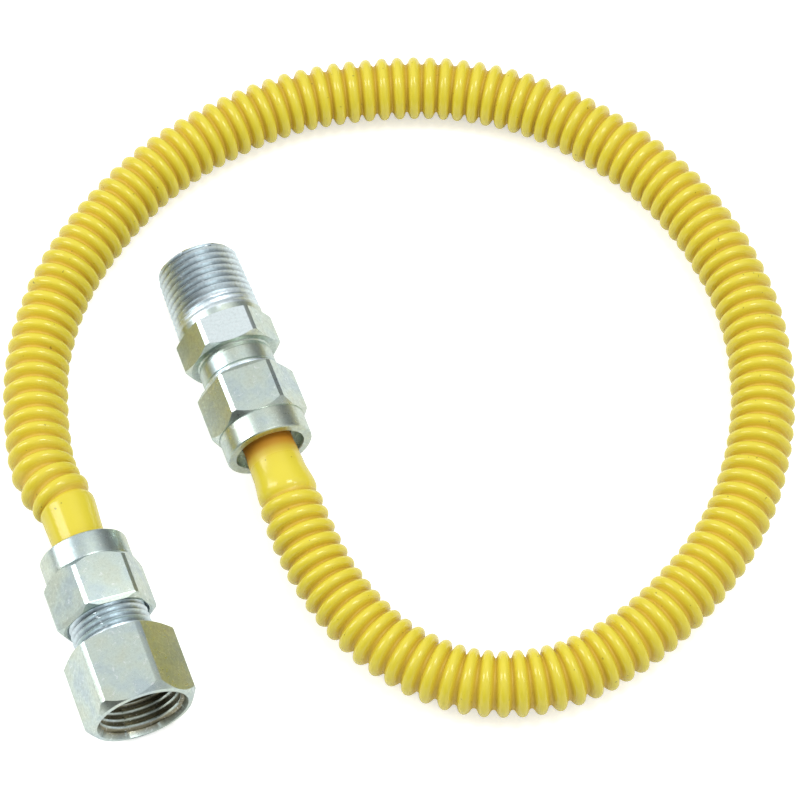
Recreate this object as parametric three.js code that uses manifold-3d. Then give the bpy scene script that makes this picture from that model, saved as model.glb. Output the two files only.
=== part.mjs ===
// Flexible gas hose: a coated corrugated steel tube with a flare nut on each end.
// One nut holds a female pipe adapter, the other a male pipe adapter.
// Millimetres, +Z up. The hose lies on the plane z = 0.
import * as THREE from 'three';
import { mergeVertices } from 'three/addons/utils/BufferGeometryUtils.js';
import Module from 'manifold-3d';

const wasm = await Module();
wasm.setup();

// Clearances
const RUNNING_GAP = 0.3;
const CUT_MARGIN = 1;

// Flare nut, the same on both ends
const NUT_ACROSS_FLATS = 21.5;
const NUT_CORNER_FLAT = 1.1;
const NUT_HEX_LENGTH = 12.8;
const NUT_FRONT_CHAMFER = 0.9;
const NUT_REAR_CHAMFER = 1.6;
const COLLAR_DIAMETER = 21.3;
const COLLAR_LENGTH = 6.2;
const COLLAR_EDGE = 0.4;
const COLLAR_RECESS_DIAMETER = 16.8;
const COLLAR_RECESS_DEPTH = 3.2;
const THROAT_LENGTH = 2.4;

// Flare end of both adapters
const FLARE_THREAD_DIAMETER = 19;
const FLARE_THREAD_PITCH = 1.5875;
const FLARE_THREAD_DEPTH = 0.9;
const FLARE_THREAD_CHAMFER = 0.7;
const NECK_LENGTH = 7.1;
const FEMALE_NECK_RELIEF = 0.8;
const MALE_NECK_RELIEF = 5.3;
const RELIEF_DIAMETER = 18.1;
const GAS_BORE_DIAMETER = 9.5;
const NOSE_TIP_WALL = 0.3;

// Female pipe adapter
const FEMALE_ACROSS_FLATS = 24.1;
const FEMALE_CORNER_FLAT = 1.6;
const FEMALE_HEX_LENGTH = 18;
const FEMALE_FRONT_CHAMFER = 1;
const FEMALE_REAR_CHAMFER = 0.5;
const SOCKET_MOUTH_DIAMETER = 22;
const SOCKET_DIAMETER = 19.4;
const SOCKET_DEPTH = 14.5;
const FEMALE_RIM_WIDTH = 0.55;

// Male pipe adapter
const MALE_ACROSS_FLATS = 21.5;
const MALE_CORNER_FLAT = 1.1;
const MALE_HEX_LENGTH = 8.2;
const MALE_FRONT_CHAMFER = 0.5;
const MALE_REAR_CHAMFER = 0.9;
const PIPE_THREAD_DIAMETER = 20.3;
const PIPE_THREAD_LENGTH = 18.2;
const PIPE_THREAD_CHAMFER = 0.9;
const PIPE_THREAD_RUNOUT = 5.5;
const PIPE_SHANK_DIAMETER = 21.2;
const PIPE_SHANK_LENGTH = 1.8;
const MALE_BORE_DIAMETER = 11;
const MALE_BORE_DEPTH = 22;

// Taper pipe thread. The taper is in diameter for each unit of length
const PIPE_TAPER = 1 / 16;
const PIPE_PITCH = 1.814;
const PIPE_THREAD_DEPTH = 1;

// Hose
const HOSE_DIAMETER = 15.7;
const CUFF_DIAMETER = 12.2;
const CUFF_LENGTH = 12.5;
const COAT_WALL = 0.5;
const STEEL_WALL = 0.4;
const FLARE_DIAMETER = 17.6;
const HOSE_SIDES = 12;
const HOSE_STEPS = 64;

// Lie of the two fittings, side by side and parallel to Y
const FITTINGS_SPAN = 109;
const FITTING_AXES_GAP = 50.3;
const FEMALE_ADAPTER_ROLL = -7;
const FEMALE_NUT_ROLL = 11;

// Roundness of turned faces
const TURNED_SEGMENTS = 48;

// Middle of the hose between its two cuffs, point by point, on the ground plane and above it
const HOSE_ROUTE = [
  [-26.5, 11, 11.7],
  [-24.5, 25.5, 9.7],
  [-18, 45, 8.1],
  [-6.5, 62, 7.9],
  [8.5, 75, 7.9],
  [26, 85, 7.9],
  [45, 90.5, 7.9],
  [65.5, 92, 7.9],
  [85, 88.5, 7.9],
  [104, 81.5, 7.9],
  [120.5, 70, 7.9],
  [133.5, 54.5, 7.9],
  [143, 37, 7.9],
  [148, 17.5, 7.9],
  [148.5, -3, 7.9],
  [144, -22.5, 7.9],
  [135, -40.5, 7.9],
  [122, -56, 7.9],
  [105.5, -67.5, 7.9],
  [87, -75, 7.9],
  [67, -77, 7.9],
  [48.5, -70.5, 7.9],
  [34.5, -55.5, 7.9],
  [27.5, -37.5, 8.7],
  [25.5, -20, 10.2],
];

// Values worked out from the sizes above
const NUT_LENGTH = NUT_HEX_LENGTH + COLLAR_LENGTH;
const COAT_INNER_RADIUS = CUFF_DIAMETER / 2 - COAT_WALL;
const STEEL_RADIUS = COAT_INNER_RADIUS - RUNNING_GAP;
const STEEL_BORE_RADIUS = STEEL_RADIUS - STEEL_WALL;
const THREAD_RADIUS = FLARE_THREAD_DIAMETER / 2;
const NUT_BORE_RADIUS = THREAD_RADIUS + RUNNING_GAP;
const THROAT_RADIUS = CUFF_DIAMETER / 2 + RUNNING_GAP;
const THROAT_START = -NUT_LENGTH + COLLAR_RECESS_DEPTH;
const SEAT_START = THROAT_START + THROAT_LENGTH;
const SEAT_END = SEAT_START + NUT_BORE_RADIUS - THROAT_RADIUS;

// Along a 45 degree cone, a gap square to the face takes this much radius
const coneOffset = (gap) => gap * Math.SQRT2;

// Height on the 45 degree seat where a surface set in by some offset has a given radius
const seatHeight = (radius, offset) => SEAT_START + radius + offset - THROAT_RADIUS;
const FLARE_OFFSET = coneOffset(RUNNING_GAP);
const FLARE_INNER_OFFSET = FLARE_OFFSET + coneOffset(STEEL_WALL);
const NOSE_OFFSET = FLARE_INNER_OFFSET + coneOffset(RUNNING_GAP);

const steel = (color, roughness) => new THREE.MeshStandardMaterial({ color, roughness, metalness: 1 });
const nutSteel = steel(0xc6ccc8, 0.35);
const adapterSteel = steel(0xc9cdc6, 0.32);
const tubeSteel = steel(0xb9bcbc, 0.3);
const coatYellow = new THREE.MeshStandardMaterial({ color: 0xe9d63a, roughness: 0.3, metalness: 0 });

function toSolid(geometry) {
  const bare = geometry.index ? geometry.clone() : geometry;
  bare.deleteAttribute('normal');
  bare.deleteAttribute('uv');
  const merged = mergeVertices(bare, 1e-4);
  return new wasm.Manifold(new wasm.Mesh({
    numProp: 3,
    vertProperties: new Float32Array(merged.attributes.position.array),
    triVerts: new Uint32Array(merged.index.array),
  }));
}

function toGeometry(solid) {
  const mesh = solid.getMesh();
  const geometry = new THREE.BufferGeometry();
  geometry.setAttribute('position', new THREE.BufferAttribute(mesh.vertProperties, 3));
  geometry.setIndex(new THREE.BufferAttribute(mesh.triVerts, 1));
  geometry.computeVertexNormals();
  return geometry;
}

function makeMesh(name, solid, material) {
  const mesh = new THREE.Mesh(toGeometry(solid), material);
  mesh.name = name;
  return mesh;
}

// Turned body about Y: [radius, height] points from the low end to the high end
function turned(profile) {
  const points = profile.map(([radius, height]) => new THREE.Vector2(radius, height));
  const low = new THREE.Vector2(0, points[0].y);
  const high = new THREE.Vector2(0, points[points.length - 1].y);
  return toSolid(new THREE.LatheGeometry([low, ...points, high], TURNED_SEGMENTS));
}

// Hexagon whose six corners are planed to narrow flats, with a flat on top
function hexagonPoints(acrossFlats, cornerFlat) {
  const side = acrossFlats / Math.sqrt(3);
  const half = side / 2 - cornerFlat / Math.sqrt(3);
  const points = [];
  for (let face = 0; face < 6; face += 1) {
    const angle = (face * Math.PI) / 3;
    const normal = new THREE.Vector2(Math.sin(angle), Math.cos(angle));
    const along = new THREE.Vector2(Math.cos(angle), -Math.sin(angle));
    for (const end of [-half, half]) {
      points.push(normal.clone().multiplyScalar(acrossFlats / 2).addScaledVector(along, end));
    }
  }
  return points;
}

// Hexagonal prism about Y from one height to another
function hexagonPrism(acrossFlats, cornerFlat, low, high) {
  const shape = new THREE.Shape(hexagonPoints(acrossFlats, cornerFlat));
  const geometry = new THREE.ExtrudeGeometry(shape, { depth: high - low, bevelEnabled: false });
  geometry.rotateX(-Math.PI / 2);
  geometry.translate(0, low, 0);
  return toSolid(geometry);
}

// Half the width of a rolled hexagon along X, and half its height along Z
function hexagonReach(acrossFlats, cornerFlat, rollDegrees) {
  const roll = THREE.MathUtils.degToRad(-rollDegrees);
  const points = hexagonPoints(acrossFlats, cornerFlat);
  const turnedPoints = points.map((point) => point.clone().rotateAround(new THREE.Vector2(), roll));
  return {
    x: Math.max(...turnedPoints.map((point) => point.x)),
    z: Math.max(...turnedPoints.map((point) => point.y)),
  };
}

// Hexagon between two heights, its corners turned down at each end over a given length
function chamferedHexagon(acrossFlats, cornerFlat, low, high, lowChamfer, highChamfer) {
  const flat = acrossFlats / 2;
  const corner = acrossFlats / Math.sqrt(3) + CUT_MARGIN;
  const slope = (corner - flat) / (acrossFlats / Math.sqrt(3) - flat);
  const limit = turned([
    [flat, low],
    [corner, low + lowChamfer * slope],
    [corner, high - highChamfer * slope],
    [flat, high],
  ]);
  return hexagonPrism(acrossFlats, cornerFlat, low, high).intersect(limit);
}

// Flare nut: front face at height 0, the hose leaves at the low end
function makeNut() {
  const hexagon = chamferedHexagon(
    NUT_ACROSS_FLATS, NUT_CORNER_FLAT, -NUT_HEX_LENGTH, 0, NUT_REAR_CHAMFER, NUT_FRONT_CHAMFER);
  const collarRadius = COLLAR_DIAMETER / 2;
  const collar = turned([
    [collarRadius - COLLAR_EDGE, -NUT_LENGTH],
    [collarRadius, -NUT_LENGTH + COLLAR_EDGE],
    [collarRadius, -NUT_HEX_LENGTH + CUT_MARGIN],
  ]);
  const recessRadius = COLLAR_RECESS_DIAMETER / 2;
  const bore = turned([
    [recessRadius, -NUT_LENGTH - CUT_MARGIN],
    [recessRadius, THROAT_START],
    [THROAT_RADIUS, THROAT_START],
    [THROAT_RADIUS, SEAT_START],
    [NUT_BORE_RADIUS, SEAT_END],
    [NUT_BORE_RADIUS, CUT_MARGIN],
  ]);
  return hexagon.add(collar).subtract(bore);
}

// Profile of thread ridges between two heights. The radius and the depth follow the height
function ridges(low, high, pitch, crestAt, depthAt) {
  const count = Math.floor((high - low) / pitch);
  const points = [];
  for (let ridge = 0; ridge < count; ridge += 1) {
    const crest = low + ridge * pitch;
    const root = crest + pitch / 2;
    points.push([crestAt(crest), crest]);
    points.push([crestAt(root) - depthAt(root), root]);
  }
  const end = low + count * pitch;
  points.push([crestAt(end), end]);
  return points;
}

// Threaded end with its 45 degree nose, and a plain relief up to where the hexagon starts
function flareEnd(relief) {
  const noseTip = GAS_BORE_DIAMETER / 2 + NOSE_TIP_WALL;
  const noseTop = THREAD_RADIUS - FLARE_THREAD_CHAMFER;
  const threadStart = seatHeight(noseTop, NOSE_OFFSET) + FLARE_THREAD_CHAMFER;
  const threadEnd = NECK_LENGTH - relief;
  return turned([
    [noseTip, seatHeight(noseTip, NOSE_OFFSET)],
    [noseTop, seatHeight(noseTop, NOSE_OFFSET)],
    ...ridges(
      threadStart, threadEnd, FLARE_THREAD_PITCH, () => THREAD_RADIUS, () => FLARE_THREAD_DEPTH),
    [RELIEF_DIAMETER / 2, threadEnd],
    [RELIEF_DIAMETER / 2, NECK_LENGTH + CUT_MARGIN],
  ]);
}

// Female adapter: pipe socket at the high end
function makeFemaleAdapter() {
  const top = NECK_LENGTH + FEMALE_HEX_LENGTH;
  const hexagon = chamferedHexagon(
    FEMALE_ACROSS_FLATS, FEMALE_CORNER_FLAT, NECK_LENGTH, top, FEMALE_REAR_CHAMFER, FEMALE_FRONT_CHAMFER);
  const mouthRadius = SOCKET_MOUTH_DIAMETER / 2;
  const socketRadius = SOCKET_DIAMETER / 2;
  const socketFloor = top - SOCKET_DEPTH;
  const floorRadius = socketRadius - (SOCKET_DEPTH * PIPE_TAPER) / 2;
  const rimRadius = mouthRadius + FEMALE_RIM_WIDTH;
  const rimDrop = FEMALE_ACROSS_FLATS / 2 - rimRadius;
  const rim = turned([
    [FEMALE_ACROSS_FLATS, NECK_LENGTH - CUT_MARGIN],
    [FEMALE_ACROSS_FLATS, top - rimDrop],
    [FEMALE_ACROSS_FLATS / 2, top - rimDrop],
    [rimRadius, top],
  ]);
  const socketTop = top - (mouthRadius - socketRadius);
  const crestAt = (height) => floorRadius + ((height - socketFloor) * PIPE_TAPER) / 2;
  const bore = turned([
    [GAS_BORE_DIAMETER / 2, -NUT_LENGTH],
    [GAS_BORE_DIAMETER / 2, socketFloor],
    [floorRadius, socketFloor],
    ...ridges(socketFloor + PIPE_PITCH, socketTop, PIPE_PITCH, crestAt, () => -PIPE_THREAD_DEPTH),
    [socketRadius, socketTop],
    [mouthRadius, top],
    [mouthRadius, top + CUT_MARGIN],
  ]);
  return hexagon.intersect(rim).add(flareEnd(FEMALE_NECK_RELIEF)).subtract(bore);
}

// Male adapter: taper pipe thread at the high end
function makeMaleAdapter() {
  const hexTop = NECK_LENGTH + MALE_HEX_LENGTH;
  const shankTop = hexTop + PIPE_SHANK_LENGTH;
  const tip = shankTop + PIPE_THREAD_LENGTH;
  const hexagon = chamferedHexagon(
    MALE_ACROSS_FLATS, MALE_CORNER_FLAT, NECK_LENGTH, hexTop, MALE_REAR_CHAMFER, MALE_FRONT_CHAMFER);
  const tipRadius = PIPE_THREAD_DIAMETER / 2;
  const threadTop = tip - PIPE_THREAD_CHAMFER;
  const crestAt = (height) => pipeRootRadius - ((height - shankTop) * PIPE_TAPER) / 2;
  const depthAt = (height) => PIPE_THREAD_DEPTH * Math.min(1, (height - shankTop) / PIPE_THREAD_RUNOUT);
  const pipe = turned([
    [PIPE_SHANK_DIAMETER / 2, hexTop - CUT_MARGIN],
    [PIPE_SHANK_DIAMETER / 2, shankTop],
    ...ridges(shankTop, threadTop, PIPE_PITCH, crestAt, depthAt),
    [crestAt(threadTop), threadTop],
    [tipRadius - PIPE_THREAD_CHAMFER, tip],
  ]);
  const bore = turned([
    [GAS_BORE_DIAMETER / 2, -NUT_LENGTH],
    [GAS_BORE_DIAMETER / 2, tip - MALE_BORE_DEPTH],
    [MALE_BORE_DIAMETER / 2, tip - MALE_BORE_DEPTH],
    [MALE_BORE_DIAMETER / 2, tip + CUT_MARGIN],
  ]);
  return hexagon.add(flareEnd(MALE_NECK_RELIEF)).add(pipe).subtract(bore);
}

// Places of the two fittings. Each frame has its Y axis out of the fitting, away from the hose
const femaleReach = hexagonReach(FEMALE_ACROSS_FLATS, FEMALE_CORNER_FLAT, FEMALE_ADAPTER_ROLL);
const maleReach = hexagonReach(MALE_ACROSS_FLATS, MALE_CORNER_FLAT, 0);
const nutReach = hexagonReach(NUT_ACROSS_FLATS, NUT_CORNER_FLAT, 0);
const maleSide = Math.max(maleReach.x, nutReach.x);
const pipeRootRadius = (PIPE_THREAD_DIAMETER + PIPE_THREAD_LENGTH * PIPE_TAPER) / 2;
const maleHeight = Math.max(maleReach.z, nutReach.z, pipeRootRadius);
const rowWidth = FITTING_AXES_GAP + femaleReach.x + maleSide;
const femaleNutY = -FITTINGS_SPAN / 2 + FEMALE_HEX_LENGTH + NECK_LENGTH;
const maleNutY = FITTINGS_SPAN / 2
  - PIPE_THREAD_LENGTH - PIPE_SHANK_LENGTH - MALE_HEX_LENGTH - NECK_LENGTH;

function fittingFrame(x, y, z, facesBack) {
  const group = new THREE.Group();
  group.position.set(x, y, z);
  group.rotation.z = facesBack ? Math.PI : 0;
  group.updateMatrixWorld();
  return group;
}

const femaleFrame = fittingFrame(-rowWidth / 2 + femaleReach.x, femaleNutY, femaleReach.z, true);
const maleFrame = fittingFrame(rowWidth / 2 - maleSide, maleNutY, maleHeight, false);

// Points on a fitting's axis, at heights given in its own frame
const onAxis = (frame, heights) => heights.map((y) => frame.localToWorld(new THREE.Vector3(0, y, 0)));

const cuffEnd = -NUT_LENGTH - CUFF_LENGTH;
const cuffMiddle = -NUT_LENGTH - CUFF_LENGTH / 2;
const FLARE_START = seatHeight(STEEL_RADIUS, FLARE_OFFSET);
const COAT_END = FLARE_START - RUNNING_GAP;

// The hose's middle line from one height inside the female nut to the same inside the male nut
function hoseLine(innerHeight) {
  const inside = [innerHeight, (innerHeight - NUT_LENGTH) / 2, -NUT_LENGTH, cuffMiddle, cuffEnd];
  const route = HOSE_ROUTE.map((point) => new THREE.Vector3(...point));
  return new THREE.CatmullRomCurve3([
    ...onAxis(femaleFrame, inside), ...route, ...onAxis(maleFrame, inside).reverse()]);
}

function corrugatedLine() {
  const route = HOSE_ROUTE.map((point) => new THREE.Vector3(...point));
  return new THREE.CatmullRomCurve3([
    ...onAxis(femaleFrame, [cuffEnd]), ...route, ...onAxis(maleFrame, [cuffEnd])]);
}

// Plain round bar along a line
function roundBar(radius, line) {
  const section = new THREE.Shape();
  for (let side = 0; side < HOSE_SIDES; side += 1) {
    const angle = (side * 2 * Math.PI) / HOSE_SIDES;
    const point = [radius * Math.cos(angle), radius * Math.sin(angle)];
    if (side === 0) section.moveTo(...point);
    else section.lineTo(...point);
  }
  section.closePath();
  return toSolid(new THREE.ExtrudeGeometry(section, {
    steps: HOSE_STEPS, extrudePath: line, bevelEnabled: false }));
}

// A turned shape placed in a fitting's frame
const placed = (solid, frame) => solid.transform(frame.matrixWorld.toArray());

// Coat: wide over the corrugations, narrow over the smooth cuffs at both ends
function makeCoat() {
  const cuffs = roundBar(CUFF_DIAMETER / 2, hoseLine(COAT_END));
  const middle = roundBar(HOSE_DIAMETER / 2, corrugatedLine());
  const inside = roundBar(COAT_INNER_RADIUS, hoseLine(COAT_END + CUT_MARGIN));
  return cuffs.add(middle).subtract(inside);
}

// Steel tube with a 45 degree flare at each end
function makeTube() {
  const flareRadius = FLARE_DIAMETER / 2;
  const flareTop = seatHeight(flareRadius, FLARE_OFFSET);
  const innerRadius = flareRadius - coneOffset(STEEL_WALL);
  const cone = turned([
    [STEEL_RADIUS, FLARE_START],
    [flareRadius, flareTop],
  ]);
  const hollow = turned([
    [STEEL_BORE_RADIUS, seatHeight(STEEL_BORE_RADIUS, FLARE_INNER_OFFSET)],
    [innerRadius + CUT_MARGIN, flareTop + CUT_MARGIN],
  ]);
  let tube = roundBar(STEEL_RADIUS, hoseLine(FLARE_START + STEEL_WALL));
  for (const frame of [femaleFrame, maleFrame]) {
    tube = tube.add(placed(cone, frame));
  }
  tube = tube.subtract(roundBar(STEEL_BORE_RADIUS, hoseLine(flareTop + CUT_MARGIN)));
  for (const frame of [femaleFrame, maleFrame]) {
    tube = tube.subtract(placed(hollow, frame));
  }
  return tube;
}

const nut = makeNut();
const femaleNut = makeMesh('female_nut', nut, nutSteel);
femaleNut.rotation.y = THREE.MathUtils.degToRad(-FEMALE_NUT_ROLL);
const femaleAdapter = makeMesh('female_adapter', makeFemaleAdapter(), adapterSteel);
femaleAdapter.rotation.y = THREE.MathUtils.degToRad(-FEMALE_ADAPTER_ROLL);
femaleFrame.add(femaleNut, femaleAdapter);

const maleNut = makeMesh('male_nut', nut, nutSteel);
const maleAdapter = makeMesh('male_adapter', makeMaleAdapter(), adapterSteel);
maleFrame.add(maleNut, maleAdapter);

const hose = new THREE.Group();
hose.add(makeMesh('hose_coat', makeCoat(), coatYellow));
hose.add(makeMesh('corrugated_tube', makeTube(), tubeSteel));
hose.add(femaleFrame, maleFrame);

export default hose;
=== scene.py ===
"""Looks of a flexible gas hose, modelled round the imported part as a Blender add-on.

Metres, +Z up, in the part's own frame. Each fitting is turned upright on the world's Z axis,
with height 0 at the nut's front face, and is then laid in its place.
"""

import math

import bmesh
import bpy
import numpy as np
from mathutils import Matrix, Vector


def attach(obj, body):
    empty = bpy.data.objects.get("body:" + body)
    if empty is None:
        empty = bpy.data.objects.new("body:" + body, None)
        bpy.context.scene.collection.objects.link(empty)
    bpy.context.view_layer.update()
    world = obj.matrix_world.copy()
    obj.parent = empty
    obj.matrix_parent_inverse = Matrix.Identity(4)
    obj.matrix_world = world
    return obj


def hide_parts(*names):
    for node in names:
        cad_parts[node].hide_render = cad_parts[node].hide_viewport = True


bl_info = {
    "name": "Flexible gas hose",
    "version": (1, 0, 0),
    "blender": (4, 5, 0),
    "location": "3D View > Sidebar > Gas hose",
    "description": "Models a coated corrugated gas hose with its flare nuts and pipe adapters",
    "category": "Object",
}

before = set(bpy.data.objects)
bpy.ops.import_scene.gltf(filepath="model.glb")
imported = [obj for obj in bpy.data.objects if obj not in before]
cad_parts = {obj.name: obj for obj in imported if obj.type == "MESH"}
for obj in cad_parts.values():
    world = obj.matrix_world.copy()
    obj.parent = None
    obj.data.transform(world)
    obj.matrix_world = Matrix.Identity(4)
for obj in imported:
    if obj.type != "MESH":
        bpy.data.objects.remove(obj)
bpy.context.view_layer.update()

MM = 0.001

# Places of the two fittings: the middle of each nut's front face, and the way it looks
FEMALE_PLACE = Vector((-24.473, -29.4, 12.6955)) * MM
MALE_PLACE = Vector((25.827, 19.2, 10.75)) * MM

# Middle of the hose between its cuffs, in millimetres, as the part's source has it
HOSE_ROUTE = (
    (-26.5, 11, 11.7), (-24.5, 25.5, 9.7), (-18, 45, 8.1), (-6.5, 62, 7.9), (8.5, 75, 7.9),
    (26, 85, 7.9), (45, 90.5, 7.9), (65.5, 92, 7.9), (85, 88.5, 7.9), (104, 81.5, 7.9),
    (120.5, 70, 7.9), (133.5, 54.5, 7.9), (143, 37, 7.9), (148, 17.5, 7.9), (148.5, -3, 7.9),
    (144, -22.5, 7.9), (135, -40.5, 7.9), (122, -56, 7.9), (105.5, -67.5, 7.9), (87, -75, 7.9),
    (67, -77, 7.9), (48.5, -70.5, 7.9), (34.5, -55.5, 7.9), (27.5, -37.5, 8.7), (25.5, -20, 10.2),
)

# Heights in a fitting, in millimetres from the nut's front face
NUT_REAR = -19.0
CUFF_END = -31.5
COAT_END = -14.38
FLARE_START = -14.08
FLARE_TOP = -10.58

# Section of a ring: angles of its rows on the round crest and in the round valley, in degrees, and
# the places in the list of rows that the hidden walls keep
CREST_ANGLES = (0, 22, 44, 66)
VALLEY_ANGLES = (66, 33)
HIDDEN_ROWS = (0, 2, 4, 6, 8, 10)

# Where the rings start, in millimetres from the coat's two ends
FEMALE_CUFF = 17.7
MALE_CUFF = 18.5

# Smooth cuffs between the nut and the first ring: share of the way, radius in millimetres, and how
# much painted shade they take, as in the valleys, darkest in the shade of the nut
FEMALE_CUFF_ROWS = (
    (0.08, 6.28, 0.5), (0.25, 6.36, 0.1), (0.4, 6.45, 0.05), (0.6, 6.58, 0.03), (0.78, 6.7, 0.0),
    (0.86, 6.8, 0.0), (0.92, 6.84, 0.1), (0.965, 6.5, 0.3))
MALE_CUFF_ROWS = (
    (0.1, 6.28, 0.9), (0.22, 6.32, 0.6), (0.36, 6.45, 0.15), (0.5, 6.5, 0.05), (0.65, 6.8, 0.0),
    (0.8, 7.12, 0.0), (0.9, 7.15, 0.0), (0.96, 6.8, 0.2))

# Length of a ring beside the mean, at shares of the way from the female end to the male end
RING_LENGTHS = (
    (0.0, 1.052), (0.02, 1.15), (0.05, 1.111), (0.08, 1.047), (0.12, 0.971), (0.2, 0.998),
    (0.35, 0.994), (0.5, 0.996), (0.65, 0.979), (0.75, 0.995), (0.84, 0.991), (0.9, 1.031),
    (0.95, 0.953), (0.975, 0.946), (1.0, 1.085))

# How the rings differ: seeds, spread of their lengths and radii as shares, and lean in radians
LENGTH_SEED = 7
LENGTH_SPREAD = 0.006
SHAPE_SEED = 11
RADIUS_SPREAD = 0.0035
RING_LEAN = 0.006

# How much lower the first rings at each end stand, and the gap between the coat and the steel
# tube, in millimetres
END_RING_DROP = (0.25, 0.1, 0.0)
TUBE_GAP = 0.3

# How much painted shade a ring's valley takes at its deepest; the coat inside a nut takes 1
VALLEY_SHADE = 0.7

# Mesh density: steps between two points of the route, points round the hose's walls and round
# the turned bodies, and rows in a thread's pitch
SPLINE_STEPS = 30
COAT_AROUND = 40
TUBE_AROUND = 24
STEM_AROUND = 96
BODY_AROUND = 120
WIDE_AROUND = 144
ROWS_A_PITCH = 8

# Turned bodies: angle of the first point, so that no edge falls on one of a hexagon's, the step
# inside a rim where its end disc starts, and how far a body reaches past the one that it cuts
TURN_START = math.radians(1.1)
RIM_STEP = 0.1
REACH = 1.0

# Distances in metres that count as nothing
TINY = 1e-9
NEAR = 1e-6

# Threads: share of the pitch that is flat at the crest and again at the root, and the gap
# between the two flare threads in millimetres
THREAD_FLAT = 0.1
THREAD_GAP = 0.22

# Rolls of the hexagons about the fitting's axis, in degrees
FEMALE_ROLL = -7.0
FEMALE_NUT_ROLL = 11.0

# Angles between faces, in degrees, from which edges are broken, and up to which they shade smooth
SOFTEN_ANGLE = 52
SMOOTH_ANGLE = 26

# Widths of the broken edges, in millimetres
EDGE = 0.1
FEMALE_EDGE = 0.12

# Turned corners of the hexagons, in millimetres: how far they are cut down, length of the rear
# chamfer, and start and end of the front one before the face
NUT_TURNED = (0.25, 1.6, 0.9, 0)
FEMALE_TURNED = (0.4, 0.6, 1.9, 0.15)
MALE_TURNED = (0.25, 0.9, 0.5, 0)

# A nut's outside, in millimetres: its front taper (inwards and along) and where the taper's bar
# starts behind it, the collar's round rear rim (inwards and along), and the shallow line in front
# of the collar (depth, start and full depth before the hexagon)
NUT_TAPER = (0.5, 1.1)
TAPER_REACH = 5.0
COLLAR_RIM = ((0.55, 0.0), (0.22, 0.08), (0.04, 0.3), (0.0, 0.6))
COLLAR_LINE = (0.12, 0.5, 0.15)

# A nut's bore, in millimetres: its mouth at the hose's side (radius and depth, wider and deep for
# the chamfer), the hole round the hose, the start of its 45 degree seat, the relief before the
# thread (start, end and the thread's start after the seat), how the thread starts and ends, and the
# countersink (wider than the thread's root at the face and past it, and deep)
MOUTH = (8.4, 3.2)
MOUTH_CHAMFER = (0.15, 0.25, 0.01)
HOSE_HOLE_RADIUS = 6.4
SEAT_START = -13.4
NUT_RELIEF = (0.2, 0.8, 0.9)
NUT_THREAD_FADE = 0.6
NUT_THREAD_STOP = -0.2
COUNTERSINK = (0.35, 1.2, 0.9)

# Flare nose as (radius, height), then where the flare thread is full wide, where its rows and its
# cut start, and the length over which it runs out, in millimetres
FLARE_NOSE = ((5.05, -13.34), (8.72, -9.67), (8.8, -9.55), (8.8, -9.3))
FLARE_THREAD_LEAD = -8.75
FLARE_THREAD_START = -8.7
FLARE_THREAD_CUT = -9.0
FLARE_THREAD_FADE = 1.4

# Both adapters' way for the gas: radius, and where its cutter starts before the nose
GAS_WAY = (4.75, -15)

# Female adapter, in millimetres: width planed off a corner, the rim, the gap from the flare thread
# to the hexagon, and the groove there (radius, distance from the hexagon, and how far the stem
# goes into it)
FEMALE_CORNER = 1.25
FEMALE_RIM_RADIUS = 11.6
FEMALE_THREAD_GAP = 0.8
FEMALE_GROOVE = (9.05, 0.45, 2)

# Its pipe socket: depth, floor and mouth as (radius, height), the thread's rows (start from the
# floor, end from the rim, radius at both), and its cut (end from the rim, radius there, fade)
SOCKET_DEPTH = 14.5
SOCKET_FLOOR = ((9.1, 0), (9.25, 0.15))
SOCKET_MOUTH = ((11.0, 0), (11.9, 0.9))
SOCKET_THREAD = (1, 1.3, 9.28, 9.7)
SOCKET_CUT = (0.2, 9.72, 2)

# Male adapter, in millimetres: the flare thread's end, its neck from there, from the hexagon's rear
# and from the hexagon's front, all as (radius, height)
MALE_THREAD_END = 1.2
MALE_RELIEF = ((8.95, 1.35), (8.95, 1.75), (9.25, 2.0))
MALE_NECK = ((9.25, -1.5), (8.9, -1.2), (8.9, -0.3), (9.2, 0), (9.2, 2))
MALE_CORE = ((10.55, -2), (10.55, 0.2))

# Its pipe thread: plain shank (length, and steps as inwards and height from its start and from
# its end), length, taper of the radius, the end of its rows (before the tip, and wider than it),
# the chamfered tip's rows (start and end before the tip, and depth), the tip's rim, how far its
# cut starts before it and ends before the tip, and its fade
SHANK_LENGTH = 1.8
SHANK_STEPS = ((0.12, 0.45), (0.05, -0.3))
PIPE_LENGTH = 18.2
PIPE_TAPER = 1 / 32
PIPE_END = (0.95, 0.03)
PIPE_TIP_CHAMFER = (0.85, 0.1, 0.8)
PIPE_TIP_RIM = 0.95
PIPE_CUT = (0.1, 0.05)
PIPE_FADE = 5.5

# Its bore from the tip, as (radius, distance before the tip)
PIPE_BORE = ((4.75, 22.3), (5.5, 21.9), (5.5, 0.4), (5.9, 0), (6.9, -1))

# Parts of the fittings with a finish of their own, as (low, high, inner, outer) in millimetres from
# the nut's front face and from the axis
NUT_THREAD_ZONES = ((-10.2, -0.3, 8.7, 10.0),)
FEMALE_THREAD_ZONES = ((-9.2, 6.4, 8.3, 9.6),)
FEMALE_SOCKET_ZONES = (
    (10.4, 10.8, 4.0, 9.5), (10.8, 18.0, 9.5, 10.9), (18.0, 23.9, 9.85, 10.9))
MALE_THREAD_ZONES = ((-9.2, 1.3, 8.3, 9.6), (16.9, 35.2, 8.8, 10.9))

# Threads whose roots get painted shade, as (low, high, crest radius at both, depth), and how many
# depths below the crest still belong to one
FEMALE_ROOTS = ((-9.2, 6.0, 9.4, 9.4, 0.9),)
MALE_ROOTS = ((-9.2, 1.0, 9.4, 9.4, 0.9), (17.2, 34.6, 10.8, 10.25, 1.1))
ROOT_REACH = 1.5

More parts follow.
